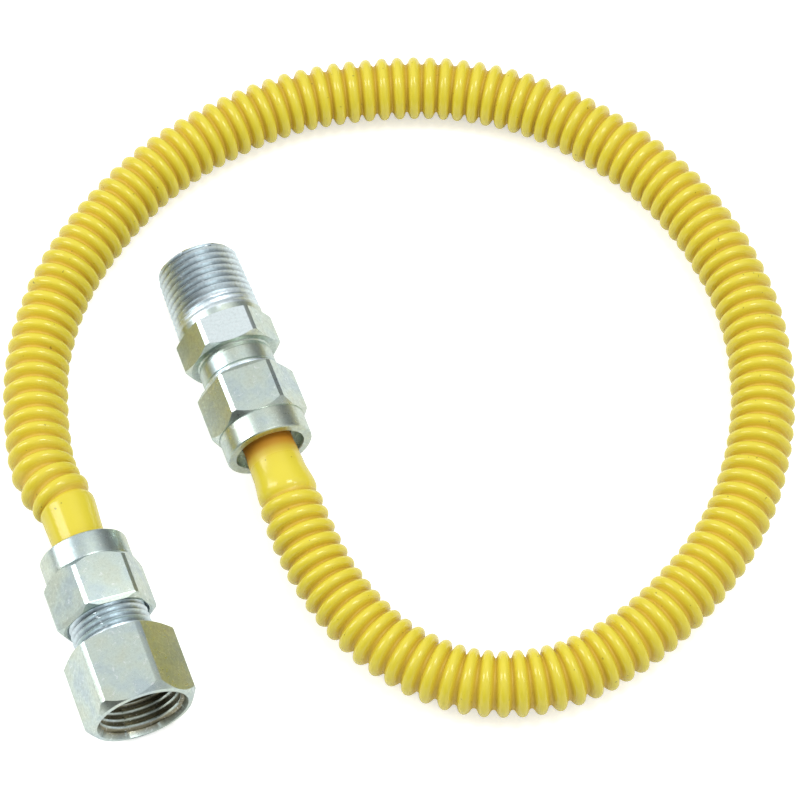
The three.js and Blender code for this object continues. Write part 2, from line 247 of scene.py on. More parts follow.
# Patterns of the finishes: the millimetres under each scale are about a blotch's width. The zinc's
# mottle, streaks and scratches are finer on the real one, and are drawn as coarse as they need to
# show.
PATCH = {"Scale": 1 / (22 * MM), "Detail": 3, "Roughness": 0.55}
SPECK = {"Scale": 1 / (2.4 * MM), "Detail": 2, "Roughness": 0.55}
GRIT = {"Scale": 1 / (0.9 * MM), "Detail": 0, "Roughness": 0.55}
CLOUD = {"Scale": 1 / (8 * MM), "Detail": 3, "Roughness": 0.55}
MOTTLE = {"Scale": 1 / (0.8 * MM), "Detail": 4, "Roughness": 0.6}
STREAK = {"Scale": 1 / (0.3 * MM), "Detail": 3, "Roughness": 0.55}
SCRATCH = {"Scale": 1 / (1.6 * MM), "Detail": 6, "Roughness": 0.7, "Distortion": 1.6}
ROLL_MARK = {"Scale": 1 / (6 * MM), "Detail": 3, "Roughness": 0.55}
PAPER_GRAIN = {"Scale": 1 / (3 * MM), "Detail": 3, "Roughness": 0.55}

# Levels along the patterns and the painted marks, as (place, level) stops
PATCH_SHADE = ((0.3, 0.95), (0.7, 1.0))
GRIT_SHARE = ((0.83, 0.0), (0.85, 0.5))
COAT_GLOSS = ((0.3, 0.17), (0.75, 0.24))
VALLEY_SHARE = ((0.3, 0.0), (0.6, 1.0))
MOTTLE_SHADE = ((0.3, 0.8), (0.6, 1.0))
SCRATCH_SHARE = ((0.59, 0.0), (0.67, 0.6))
ROOT_SHADE = ((0.3, 1.0), (0.95, 0.48))
STEEL_GLOSS = ((0.3, 0.26), (0.7, 0.38))
PAPER_SHADE = ((0.3, 0.985), (0.7, 1.0))

# Roughness of the coat's valleys, of a thread, and of the zinc on the nuts, the female adapter and
# the male adapter, with how much rougher and smoother the mottle makes it
VALLEY_GLOSS = 0.5
THREAD_GLOSS = 0.38
NUT_GLOSS = 0.3
SOCKET_GLOSS = 0.3
PIPE_GLOSS = 0.32
MOTTLE_GLOSS = (0.08, 0.05)

# Bumps: strength, and height under it
COAT_BUMP = {"Strength": 0.1, "Distance": 0.03 * MM}
ZINC_BUMP = {"Strength": 0.05, "Distance": 0.02 * MM}

# How a node mixes two colours
MIX = {"data_type": "RGBA", "blend_type": "MIX"}
MULTIPLY = {"data_type": "RGBA", "blend_type": "MULTIPLY"}

# Scale of the zinc's streaks along and across the fittings' axis: they run round it
STREAK_STRETCH = (0.12, 1.0, 0.12)

# View
CAMERA_AZIMUTH = -20.6
CAMERA_ELEVATION = 62.5
CAMERA_LENS = 153.0
CAMERA_SENSOR = 36
CAMERA_DISTANCE = 829.3
CAMERA_TARGET = (61.5, 7.2, 0.0)

# Lamps, in metres: name, place, the point that it looks at, size and watts
LAMPS = (
    ("key_light", (0.31, -0.02, 1.07), (0.06, 0, 0), (0.35, 0.35), 3.8),
    ("side_light", (-0.76, 0.42, 0.64), (0.06, 0, 0), (0.36, 0.72), 4.2),
    ("low_light", (0.6, -0.37, 0.88), (0, 0, 0), (0.22, 0.22), 0.8))

# Floor: its width and drop in metres, and the glow that the camera and that metal see on it
FLOOR_WIDTH = 8
FLOOR_DROP = 0.0003
FLOOR_LIFT = 0.5
FLOOR_LIFT_IN_METAL = 0.12

# Levels of the sky by the height of the direction, from the horizon up, and its dark sides: the
# direction, the cosines where each one starts and is full, and its level there
SKY = ((0.0, 0.55), (0.3, 0.58), (0.5, 0.8), (0.76, 1.0), (0.9, 0.85), (1.0, 0.75))
DARK_SIDES = (
    ((-0.63, -0.66, 0.41), 0.8, 0.95, 0.12), ((0.85, 0.43, 0.3), 0.88, 0.98, 0.35),
    ((-0.9, 0.43, 0.05), 0.92, 0.98, 0.4))


def linear_rgb(code):
    """An sRGB hex value as linear red, green and blue."""
    parts = [int(code[i:i + 2], 16) / 255 for i in (0, 2, 4)]
    return tuple(c / 12.92 if c <= 0.04045 else ((c + 0.055) / 1.055) ** 2.4 for c in parts)


def length(name, text, default):
    """A length property, given in millimetres."""
    return bpy.props.FloatProperty(
        name=name, description=text, default=default * MM, min=0.0, unit="LENGTH", precision=5)


def colour(name, text, code):
    """A colour property, given as an sRGB hex value."""
    return bpy.props.FloatVectorProperty(
        name=name, description=text, default=linear_rgb(code), size=3, min=0.0, max=1.0,
        subtype="COLOR")


class GasHoseSizes(bpy.types.PropertyGroup):
    """Sizes of the coated hose"""

    rings: bpy.props.IntProperty(
        name="Rings", description="Corrugations between the two cuffs", default=124, min=20)
    crest_radius: length("Crest radius", "Radius of the coat over a corrugation", 7.85)
    root_radius: length("Root radius", "Radius of the coat between two corrugations", 5.98)
    cuff_radius: length("Cuff radius", "Radius of the smooth cuff where the nut holds it", 6.1)
    coat_wall: length("Coat wall", "Thickness of the polymer coat", 0.5)
    steel_wall: length("Steel wall", "Thickness of the corrugated steel", 0.4)
    crest_round: length("Crest round", "Rounding radius of a corrugation's crest", 1.3)
    valley_round: length("Valley round", "Rounding radius of the valley between two", 0.4)


class GasHoseFittingSizes(bpy.types.PropertyGroup):
    """Sizes of the nuts and adapters"""

    nut_across_flats: length("Nut across flats", "Flare nut, flat to flat", 21.5)
    nut_corner: length("Nut corner flat", "Width planed off each corner of the nut", 1.15)
    nut_hexagon: length("Nut hexagon", "Length of the nut's hexagon", 12.8)
    collar_radius: length("Collar radius", "Round collar behind the nut's hexagon", 10.65)
    collar_length: length("Collar length", "Length of the round collar", 6.2)
    thread_radius: length("Flare thread radius", "Crest radius of the flare thread", 9.5)
    thread_depth: length("Flare thread depth", "Depth of the flare thread", 0.9)
    thread_pitch: length("Flare thread pitch", "Pitch of the flare thread", 1.5875)
    pipe_pitch: length("Pipe thread pitch", "Pitch of the taper pipe thread", 1.8143)
    pipe_depth: length("Pipe thread depth", "Depth of the taper pipe thread", 1.0)
    pipe_radius: length("Pipe thread radius", "Crest radius at the tip of the pipe thread", 10.15)
    neck_length: length("Neck", "From the nut's face to the adapter's hexagon", 7.1)
    female_across_flats: length("Female across flats", "Female adapter, flat to flat", 24.1)
    female_hexagon: length("Female hexagon", "Length of the female adapter's hexagon", 18.0)
    male_across_flats: length("Male across flats", "Male adapter, flat to flat", 21.5)
    male_hexagon: length("Male hexagon", "Length of the male adapter's hexagon", 8.2)


class GasHoseColours(bpy.types.PropertyGroup):
    """Colours of the finishes and the stage"""

    coat: colour("Coat", "Yellow polymer on the crest of a ring", "DECF3E")
    # Painted shade: the coat's flank, shade and nut colours darken it on a ring's sides, in its
    # valleys and in the shade of a nut
    coat_flank_shade: colour("Coat flank shade", "Yellow polymer on the sides of a ring", "DDCA3C")
    coat_shade: colour("Coat shade", "Yellow polymer painted shade in the valleys", "D0B036")
    coat_nut_shade: colour("Coat nut shade", "Yellow polymer in the shade of a nut", "CC8A24")
    grit: colour("Grit", "Specks of dirt on the coat", "5A4A20")
    zinc: colour("Zinc", "Zinc plate on the flats", "C6D4CC")
    zinc_cool: colour("Cool zinc", "Bluish parts of the zinc plate", "BACACC")
    zinc_warm: colour("Warm zinc", "Straw coloured parts of the zinc plate", "C6D0C2")
    zinc_thread: colour("Thread zinc", "Zinc plate on the threads", "DCEAF0")
    # Painted light: the male hexagon's upper flat is drawn lighter, where the light falls on it
    zinc_top_light: colour("Top light zinc", "Zinc plate on the male hexagon's upper flat", "DEEAEC")
    # A darker olive zinc over the inside of the pipe socket
    zinc_socket_inner: colour("Socket zinc", "Zinc plate darker inside the pipe socket", "8C8872")
    zinc_scratch: colour("Scratch", "Scratches in the zinc plate", "EEF2F4")
    tube_steel: colour("Tube steel", "Stainless steel of the corrugated tube", "B9BCBC")
    tube_mark: colour("Tube marks", "Marks of the rolls on the corrugated tube", "A4A8A8")
    floor: colour("Floor", "Plain pale floor", "F4F4F2")


# Shared modelling steps

def activate(obj):
    """Selects this object alone, because every operator acts on all that is selected."""
    bpy.ops.object.select_all(action="DESELECT")
    obj.select_set(True)
    bpy.context.view_layer.objects.active = obj


def new_primitive(name, add, **settings):
    """A primitive at its size and place, with its turn and place put into its mesh."""
    bpy.ops.object.select_all(action="DESELECT")
    add(**settings)
    obj = bpy.context.active_object
    obj.name = name
    obj.data.name = name
    bpy.ops.object.transform_apply(location=True, rotation=True, scale=True)
    return obj


def extrude_ring(start, end):
    """Extrudes the selected ring from one (radius, height) to the next one."""
    bpy.ops.mesh.extrude_region_move(
        TRANSFORM_OT_translate={"value": (0, 0, end[1] - start[1])})
    if abs(end[0] - start[0]) > TINY:
        ratio = end[0] / start[0]
        bpy.ops.transform.resize(value=(ratio, ratio, 1), center_override=(0, 0, end[1]))


def turn(name, profile, around):
    """A solid body turned about Z: a disc, with its rim extruded and scaled along the profile."""
    points = [(radius * MM, height * MM) for radius, height in profile]
    obj = new_primitive(
        name, bpy.ops.mesh.primitive_circle_add, vertices=around, radius=points[0][0],
        fill_type="NOTHING", location=(0, 0, points[0][1]), rotation=(0, 0, TURN_START))
    bpy.ops.object.mode_set(mode="EDIT")
    bpy.ops.mesh.select_all(action="SELECT")
    for start, end in zip(points, points[1:]):
        extrude_ring(start, end)
    bpy.ops.mesh.edge_face_add()
    bpy.ops.mesh.select_all(action="DESELECT")
    bpy.ops.mesh.select_non_manifold()
    bpy.ops.mesh.edge_face_add()
    bpy.ops.mesh.select_all(action="SELECT")
    bpy.ops.mesh.normals_make_consistent(inside=False)
    bpy.ops.object.mode_set(mode="OBJECT")
    return obj


def combine(obj, other, operation):
    """Joins, cuts or trims one solid with another one, which is used up.

    The manifold solver gives the same faces on each run.
    """
    activate(obj)
    modifier = obj.modifiers.new(operation.lower(), "BOOLEAN")
    modifier.operation = operation
    modifier.solver = "MANIFOLD"
    modifier.object = other
    bpy.ops.object.modifier_apply(modifier=modifier.name)
    bpy.data.objects.remove(other)
    if not obj.data.polygons:
        raise RuntimeError(f"{obj.name} is empty after {operation}")


def soften(obj, width):
    """Breaks the sharp edges by a small bevel."""
    activate(obj)
    modifier = obj.modifiers.new("edges", "BEVEL")
    modifier.width = width * MM
    modifier.segments = 2
    modifier.limit_method = "ANGLE"
    modifier.angle_limit = math.radians(SOFTEN_ANGLE)
    modifier.use_clamp_overlap = True
    bpy.ops.object.modifier_apply(modifier=modifier.name)


def smooth(obj):
    """Merges doubles, turns the faces outwards and shades the turned faces smooth."""
    activate(obj)
    bpy.ops.object.mode_set(mode="EDIT")
    bpy.ops.mesh.select_all(action="SELECT")
    bpy.ops.mesh.remove_doubles(threshold=2 * NEAR)
    bpy.ops.mesh.normals_make_consistent(inside=False)
    bpy.ops.object.mode_set(mode="OBJECT")
    bpy.ops.object.shade_smooth_by_angle(angle=math.radians(SMOOTH_ANGLE))
    modifier = obj.modifiers.new("normals", "WEIGHTED_NORMAL")
    modifier.keep_sharp = True
    bpy.ops.object.modifier_apply(modifier=modifier.name)


def lay(obj, place, faces_back):
    """Lays an upright fitting along Y in its place, with that in its mesh, and smooths it."""
    activate(obj)
    about = Matrix.Rotation(math.pi if faces_back else 0, 4, "Z")
    down = Matrix.Rotation(-math.pi / 2, 4, "X")
    obj.matrix_world = Matrix.Translation(place) @ about @ down
    bpy.ops.object.transform_apply(location=True, rotation=True, scale=True)
    smooth(obj)
    return obj


def coordinates(obj):
    """The places of an object's vertices."""
    found = np.zeros(len(obj.data.vertices) * 3)
    obj.data.vertices.foreach_get("co", found)
    return found.reshape(-1, 3)


def paint(obj, name, values):
    """Stores one number at each vertex, for a material to read."""
    attribute = obj.data.attributes.new(name, "FLOAT", "POINT")
    attribute.data.foreach_set("value", np.asarray(values, dtype=np.float32))


# Hexagons and threads

def hexagon(name, across, corner, low, high, roll=0.0):
    """A hexagon bar with flats up and down, and each corner planed to a narrow flat."""
    obj = new_primitive(
        name, bpy.ops.mesh.primitive_cylinder_add, vertices=6, radius=across / math.sqrt(3),
        depth=high - low, location=(0, 0, (low + high) / 2), rotation=(0, 0, math.radians(30)))
    bpy.ops.object.mode_set(mode="EDIT")
    bpy.ops.mesh.select_mode(type="EDGE")
    bpy.ops.mesh.select_all(action="DESELECT")
    mesh = bmesh.from_edit_mesh(obj.data)
    for edge in mesh.edges:
        edge.select_set(abs(edge.verts[0].co.z - edge.verts[1].co.z) > (high - low) / 2)
    bmesh.update_edit_mesh(obj.data)
    bpy.ops.mesh.bevel(offset_type="WIDTH", offset=corner, segments=1, affect="EDGES")
    bpy.ops.mesh.select_all(action="SELECT")
    bpy.ops.transform.rotate(
        value=math.radians(roll), orient_axis="Z", center_override=(0, 0, 0))
    bpy.ops.object.mode_set(mode="OBJECT")
    return obj


def narrow_end(obj, ratio):
    """Scales the upper end face of an upright bar, which makes its flats lean in."""
    activate(obj)
    bpy.ops.object.mode_set(mode="EDIT")
    bpy.ops.mesh.select_mode(type="VERT")
    bpy.ops.mesh.select_all(action="DESELECT")
    mesh = bmesh.from_edit_mesh(obj.data)
    top = max(vertex.co.z for vertex in mesh.verts)
    for vertex in mesh.verts:
        vertex.select_set(vertex.co.z > top - 10 * NEAR)
    mesh.select_flush(True)
    bmesh.update_edit_mesh(obj.data)
    bpy.ops.transform.resize(value=(ratio, ratio, 1), center_override=(0, 0, top))
    bpy.ops.object.mode_set(mode="OBJECT")


def turned_hexagon(name, across, planed, ends, turned, around, roll=0.0, rim=None):
    """A hexagon bar with its corners turned down between two ends, which are in millimetres."""
    low, high = ends
    depth, rear, front, stop = turned
    flat = across / MM / 2
    corner = across / MM / math.sqrt(3) - depth
    obj = hexagon(name, across, planed, low * MM, high * MM, roll)
    rows = [
        (flat - RIM_STEP, low), (flat, low), (corner, low + rear), (corner, high - front),
        (flat, high - stop)]
    if rim:
        rows.append((rim, high))
    rows.append((rows[-1][0] - RIM_STEP, high))
    combine(obj, turn("limit", rows, around), "INTERSECT")
    return obj


def thread_rows(low, high, pitch, low_radius, high_radius):
    """Profile rows close enough together to cut a thread in, in millimetres."""
    count = max(2, round((high - low) / (pitch / ROWS_A_PITCH)))
    return [
        (low_radius + (high_radius - low_radius) * i / count, low + (high - low) * i / count)
        for i in range(count + 1)]


def cut_thread(obj, zone, pitch, line, depth, fades, inside=False):
    """Moves the rows of a turned body onto a right-hand screw thread.

    zone is its lowest and highest point, line its crest radius at both, or its root radius
    for a thread inside a bore, and fades the lengths over which it runs out at both ends.
    """
    points = coordinates(obj)
    radius = np.hypot(points[:, 0], points[:, 1])
    height = points[:, 2]
    picked = (height > zone[0] + NEAR) & (height < zone[1] - NEAR) & (radius > 10 * NEAR)
    angle = np.arctan2(points[:, 0], -points[:, 1])
    turns = height / pitch - angle / (2 * math.pi)
    step = np.round(turns * ROWS_A_PITCH)
    on_row = height + pitch * (step / ROWS_A_PITCH - turns)
    rise = 1 - np.abs(2 * np.mod(step / ROWS_A_PITCH, 1) - 1)
    ridge = np.clip((rise - THREAD_FLAT) / (1 - 2 * THREAD_FLAT), 0, 1)
    share = (height - zone[0]) / (zone[1] - zone[0])
    straight = line[0] + (line[1] - line[0]) * share
    low_fade = np.clip((height - zone[0]) / max(fades[0], NEAR), 0, 1)
    high_fade = np.clip((zone[1] - height) / max(fades[1], NEAR), 0, 1)
    fade = np.minimum(low_fade, high_fade)
    if inside:
        wanted = np.maximum(radius, straight + depth * ridge * fade)
    else:
        wanted = np.minimum(radius, straight - depth * (1 - ridge) * fade)
    scale = np.where(picked, wanted / np.maximum(radius, TINY), 1)
    points[:, 0] *= scale
    points[:, 1] *= scale
    points[:, 2] = np.where(picked, on_row, height)
    obj.data.vertices.foreach_set("co", points.ravel())
    obj.data.update()


# Hose

def spline_point(p0, p1, p2, p3, share):
    """A point between p1 and p2 on the centripetal spline through four points."""
    d0, d1, d2 = (max((b - a).length, TINY) ** 0.5 for a, b in ((p0, p1), (p1, p2), (p2, p3)))
    start = ((p1 - p0) / d0 - (p2 - p0) / (d0 + d1) + (p2 - p1) / d1) * d1
    end = ((p2 - p1) / d1 - (p3 - p1) / (d1 + d2) + (p3 - p2) / d2) * d1
    square = -3 * p1 + 3 * p2 - 2 * start - end
    cube = 2 * p1 - 2 * p2 + start + end
    return p1 + start * share + square * share ** 2 + cube * share ** 3


def on_axis(place, faces_back, height):
    """A point on a fitting's axis, at a height in millimetres from its nut's front face."""
    return place + Vector((0, -height if faces_back else height, 0)) * MM


def hose_line():
    """Points close together along the middle of the hose, from one coat end to the other."""
    heights = (COAT_END, (COAT_END + NUT_REAR) / 2, NUT_REAR, (NUT_REAR + CUFF_END) / 2, CUFF_END)
    points = [on_axis(FEMALE_PLACE, True, height) for height in heights]
    points += [Vector(point) * MM for point in HOSE_ROUTE]
    points += [on_axis(MALE_PLACE, False, height) for height in reversed(heights)]
    points = [2 * points[0] - points[1], *points, 2 * points[-1] - points[-2]]
    line = []
    for i in range(len(points) - 3):
        four = points[i:i + 4]
        line += [spline_point(*four, step / SPLINE_STEPS) for step in range(SPLINE_STEPS)]
    return np.array([*line, points[-2]], dtype=float)


class HoseLine:
    """The hose's middle, with its length, direction, sideways direction and bend at each place."""

    def __init__(self, points):
        steps = np.linalg.norm(np.diff(points, axis=0), axis=1)
        self.points = points
        self.at = np.concatenate([[0], np.cumsum(steps)])
        self.length = self.at[-1]
        ahead = np.gradient(points, self.at, axis=0)
        self.ahead = ahead / np.linalg.norm(ahead, axis=1)[:, None]
        self.bend = np.gradient(self.ahead, self.at, axis=0)
        side = np.cross(self.ahead, (0.0, 0.0, 1.0))
        self.side = side / np.linalg.norm(side, axis=1)[:, None]

    def sample(self, values, at):
        """Values of the line's points, read at these lengths."""
        return np.stack([np.interp(at, self.at, values[:, i]) for i in range(3)], axis=1)

    def place(self, at):
        """Points at these lengths; beyond the ends the line goes straight on."""
        beyond = np.where(at < 0, at, np.where(at > self.length, at - self.length, 0))
        return self.sample(self.points, at) + self.sample(self.ahead, at) * beyond[:, None]


def ring_edges(sizes, line):
    """Lengths along the hose where one ring ends and the next starts."""
    first = FEMALE_CUFF * MM
    last = line.length - MALE_CUFF * MM
    share = (np.arange(sizes.rings) + 0.5) / sizes.rings
    lengths = np.interp(share, *zip(*RING_LENGTHS))
    spin = np.random.default_rng(LENGTH_SEED)
    lengths = lengths * (1 + spin.normal(0, LENGTH_SPREAD, sizes.rings))
    return first + (last - first) * np.concatenate([[0], np.cumsum(lengths) / lengths.sum()])


def ring_section(sizes):
    """Rows of one ring from its first valley on: (place, drop), in metres, the crest at 0.

    A round crest and a round valley, joined by straight flanks.
    """
    depth = sizes.crest_radius - sizes.root_radius
    slope = math.radians(CREST_ANGLES[-1])
    rounds = sizes.crest_round + sizes.valley_round
    flank = (depth - rounds * (1 - math.cos(slope))) / math.sin(slope)
    half = rounds * math.sin(slope) + flank * math.cos(slope)
    rows = []
    for degrees in CREST_ANGLES:
        angle = math.radians(degrees)
        rows.append((
            sizes.crest_round * math.sin(angle), sizes.crest_round * (1 - math.cos(angle))))
    for degrees in VALLEY_ANGLES:
        angle = math.radians(degrees)
        rows.append((
            half - sizes.valley_round * math.sin(angle),
            depth - sizes.valley_round * (1 - math.cos(angle))))
    return [(-half, depth), *((-place, drop) for place, drop in reversed(rows)), *rows[1:]], half


def cuff_rows(sizes, wall, shape, cuff):
    """Lengths, radii and painted shade of a smooth cuff, from inside the nut to the first ring."""
    nut = COAT_END - NUT_REAR
    held = sizes.cuff_radius / MM
    # Inside the nut the coat takes the full painted shade
    rows = [(0, held, 1), (nut * 0.5, held, 1), (nut, held, 1)]
    rows += [(nut + (cuff - nut) * share, radius, tint) for share, radius, tint in shape]
    return [(at * MM, radius * MM - wall, tint) for at, radius, tint in rows]


def tube_grid(sizes, line, around, wall, hidden):
    """Lengths, radii, painted shade and angles of one wall of the hose, row by row.

    Along the outside of a bend the valleys open, and along its inside they close.
    """
    edges = ring_edges(sizes, line)
    rows, half = ring_section(sizes)
    if hidden:
        rows = [rows[i] for i in HIDDEN_ROWS]
    spin = np.random.default_rng(SHAPE_SEED)
    tilt = spin.normal(0, RING_LEAN, (sizes.rings, 2))
    swell = 1 + spin.normal(0, RADIUS_SPREAD, sizes.rings)
    angle = np.arange(around) * 2 * math.pi / around
    found = cuff_rows(sizes, wall, FEMALE_CUFF_ROWS, FEMALE_CUFF)
    rise = sizes.crest_radius - sizes.root_radius
    for ring in range(sizes.rings):
        near_end = min(ring, sizes.rings - 1 - ring)
        crest = sizes.crest_radius * swell[ring] - END_RING_DROP[min(near_end, 2)] * MM
        middle = (edges[ring] + edges[ring + 1]) / 2
        size = edges[ring + 1] - edges[ring]
        bend = line.sample(line.bend, np.array([middle]))[0]
        side = line.sample(line.side, np.array([middle]))[0]
        stretch = 1 - sizes.crest_radius * np.cos(angle) * (bend @ side)
        lean = (tilt[ring, 0] * np.cos(angle) + tilt[ring, 1] * np.sin(angle)) * sizes.crest_radius
        for place, drop in rows:
            share = abs(place) / half
            local = place + math.copysign(share ** 3, place) * (size / 2 * stretch - half)
            # The third value is painted shade, deeper the lower the row lies in the valley
            found.append((
                middle + local / stretch + lean * (1 - drop / rise),
                crest - drop * (crest - sizes.root_radius) / rise - wall,
                VALLEY_SHADE * drop / rise))
    # The male cuff, with its painted shade by the nut
    for place, size, depth in reversed(cuff_rows(sizes, wall, MALE_CUFF_ROWS, MALE_CUFF)):
        found.append((line.length - place, size, depth))
    columns = (np.array([np.broadcast_to(value, around) for value in column])
               for column in zip(*found))
    return *columns, angle


def grid_points(line, at, radius, angle):
    """Vertex places of rows of points round the hose's middle."""
    flat = at.ravel()
    centre = line.place(flat)
    side = line.sample(line.side, flat)
    ahead = line.sample(line.ahead, flat)
    up = np.cross(side, ahead)
    turn_angle = np.broadcast_to(angle, at.shape).ravel()[:, None]
    out = side * np.cos(turn_angle) + up * np.sin(turn_angle)
    return centre + out * radius.ravel()[:, None]


def closed_grid(name, points, rows, around):
    """A closed mesh of rows of points: each row joins the next, and the last joins the first."""
    index = np.arange(rows * around).reshape(rows, around)
    after = np.roll(index, -1, axis=0)
    faces = np.stack([
        index, np.roll(index, -1, axis=1), np.roll(after, -1, axis=1), after], axis=2)
    mesh = bpy.data.meshes.new(name)
    mesh.from_pydata(points, [], faces.reshape(-1, 4).tolist())
    obj = bpy.data.objects.new(name, mesh)
    bpy.context.scene.collection.objects.link(obj)
    activate(obj)
    bpy.ops.object.mode_set(mode="EDIT")
    bpy.ops.mesh.select_all(action="SELECT")
    bpy.ops.mesh.normals_make_consistent(inside=False)
    bpy.ops.object.mode_set(mode="OBJECT")
    bpy.ops.object.shade_smooth()
    return obj


def walled_tube(name, line, around, outer, inner):
    """A tube of two walls, each given as (lengths, radii, painted shade, angles)."""
    at = np.concatenate([outer[0], inner[0][::-1]])
    radius = np.concatenate([outer[1], inner[1][::-1]])
    groove = np.concatenate([outer[2], inner[2][::-1]])
    points = grid_points(line, at, radius, outer[3])
    obj = closed_grid(name, points, len(at), around)
    # The groove attribute holds the painted shade
    paint(obj, "groove", groove.ravel())
    return obj


def make_coat(sizes, line):
    """The yellow coat: rounded rings with narrow grooves, and a smooth cuff at each end."""
    outer = tube_grid(sizes, line, COAT_AROUND, 0.0, False)
    inner = tube_grid(sizes, line, COAT_AROUND, sizes.coat_wall, True)
    return walled_tube("yellow_coat", line, COAT_AROUND, outer, inner)


def flare_rows(grid, line, rows):
    """Puts a flare's rows at both ends of a wall, as (length from the coat's end, radius) from its
    rim inwards."""
    at, radius, groove, angle = grid
    around = at.shape[1]
    first = np.array([[place] * around for place, _ in rows])
    sizes = np.array([[size] * around for _, size in rows])
    zero = np.zeros_like(first)
    return (
        np.concatenate([first, at[1:-1], line.length - first[::-1]]),
        np.concatenate([sizes, radius[1:-1], sizes[::-1]]),
        np.concatenate([zero, groove[1:-1], zero]), angle)


def make_tube(sizes, line):
    """The corrugated steel tube inside the coat, with its two 45 degree flares."""
    wall = sizes.steel_wall
    outer_wall = sizes.coat_wall + TUBE_GAP * MM
    outer = tube_grid(sizes, line, TUBE_AROUND, outer_wall, True)
    inner = tube_grid(sizes, line, TUBE_AROUND, outer_wall + wall, True)
    rim, start = (COAT_END - FLARE_TOP) * MM, (COAT_END - FLARE_START) * MM
    neck = sizes.cuff_radius - outer_wall
    top = neck + (start - rim)
    inner_top = top - wall * math.sqrt(2)
    inner_neck = neck - wall
    outer = flare_rows(outer, line, [(rim, top), (start, neck)])
    inner = flare_rows(
        inner, line, [(rim, inner_top), (rim + inner_top - inner_neck, inner_neck)])
    return walled_tube("steel_liner", line, TUBE_AROUND, outer, inner)


# Nuts and adapters, upright

def nut_body(name, sizes, roll):
    """A flare nut: hexagon and round collar turned from one bar, with a bored thread and seat."""
    rear = -sizes.nut_hexagon / MM
    obj = turned_hexagon(
        name, sizes.nut_across_flats, sizes.nut_corner, (rear, 0), NUT_TURNED, BODY_AROUND, roll)
    inwards, along = NUT_TAPER
    narrow = sizes.nut_across_flats - 2 * inwards * MM
    wide = narrow + 2 * inwards / along * (sizes.nut_hexagon + TAPER_REACH * MM)
    taper = hexagon("taper", wide, sizes.nut_corner, (rear - TAPER_REACH) * MM, 0, roll)
    narrow_end(taper, narrow / wide)
    combine(obj, taper, "INTERSECT")
    collar = sizes.collar_radius / MM
    end = rear - sizes.collar_length / MM
    line_depth, line_start, line_full = COLLAR_LINE
    ring = turn("collar", [
        *((collar - inside, end + after) for inside, after in COLLAR_RIM),
        (collar, rear - line_start), (collar - line_depth, rear - line_full),
        (collar - line_depth, rear + REACH)], BODY_AROUND)
    combine(obj, ring, "UNION")
    soften(obj, EDGE)
    crest = (sizes.thread_radius - sizes.thread_depth) / MM + THREAD_GAP
    root = sizes.thread_radius / MM + THREAD_GAP
    mouth, mouth_depth = MOUTH
    wider, deep, step = MOUTH_CHAMFER
    seat_end = SEAT_START + root - HOSE_HOLE_RADIUS
    relief, relief_end, start = (seat_end + after for after in NUT_RELIEF)
    sunk, past, sink_depth = COUNTERSINK
    bore = turn("bore", [
        (mouth + wider, end - REACH), (mouth + wider, end - step), (mouth, end + deep),
        (mouth, end + mouth_depth), (HOSE_HOLE_RADIUS, end + mouth_depth),
        (HOSE_HOLE_RADIUS, SEAT_START), (root, seat_end), (root, relief), (crest, relief_end),
        *thread_rows(start, -sink_depth, sizes.thread_pitch / MM, crest, crest),
        (root + sunk, 0), (root + past, REACH)], STEM_AROUND)
    cut_thread(
        bore, (start * MM, NUT_THREAD_STOP * MM), sizes.thread_pitch, (crest * MM, crest * MM),
        sizes.thread_depth, (NUT_THREAD_FADE * MM, 0.0), inside=True)
    combine(obj, bore, "DIFFERENCE")
    return obj


def flare_profile(sizes, thread_end):
    """Profile of the nose and the flare thread, up to the thread's end."""
    radius = sizes.thread_radius / MM
    pitch = sizes.thread_pitch / MM
    return [
        *FLARE_NOSE, (radius, FLARE_THREAD_LEAD),
        *thread_rows(FLARE_THREAD_START, thread_end, pitch, radius, radius)]


def cut_flare_thread(obj, sizes, thread_end):
    """Cuts the flare thread in a turned stem."""
    radius = sizes.thread_radius
    cut_thread(
        obj, (FLARE_THREAD_CUT * MM, thread_end * MM), sizes.thread_pitch, (radius, radius),
        sizes.thread_depth, (0.0, FLARE_THREAD_FADE * MM))


def female_body(name, sizes):
    """The female adapter: hexagon bar with a taper pipe socket, turned down to the flare thread."""
    neck = sizes.neck_length / MM
    top = neck + sizes.female_hexagon / MM
    obj = turned_hexagon(
        name, sizes.female_across_flats, FEMALE_CORNER * MM, (neck, top), FEMALE_TURNED,
        WIDE_AROUND, FEMALE_ROLL, FEMALE_RIM_RADIUS)
    soften(obj, FEMALE_EDGE)
    thread_end = neck - FEMALE_THREAD_GAP
    groove, before, into = FEMALE_GROOVE
    stem = turn("stem", [
        *flare_profile(sizes, thread_end), (groove, neck - before), (groove, neck + into)],
        STEM_AROUND)
    cut_flare_thread(stem, sizes, thread_end)
    combine(obj, stem, "UNION")
    floor = top - SOCKET_DEPTH
    after, before, low_radius, high_radius = SOCKET_THREAD
    cut_end, cut_radius, fade = SOCKET_CUT
    way, way_start = GAS_WAY
    rows = thread_rows(
        floor + after, top - before, sizes.pipe_pitch / MM, low_radius, high_radius)
    bore = turn("bore", [
        (way, way_start), (way, floor), *((radius, floor + up) for radius, up in SOCKET_FLOOR),
        *rows, *((radius, top + up) for radius, up in SOCKET_MOUTH)], BODY_AROUND)
    cut_thread(
        bore, ((floor + after) * MM, (top - cut_end) * MM), sizes.pipe_pitch,
        (low_radius * MM, cut_radius * MM), sizes.pipe_depth, (fade * MM, 0.0), inside=True)
    combine(obj, bore, "DIFFERENCE")
    return obj


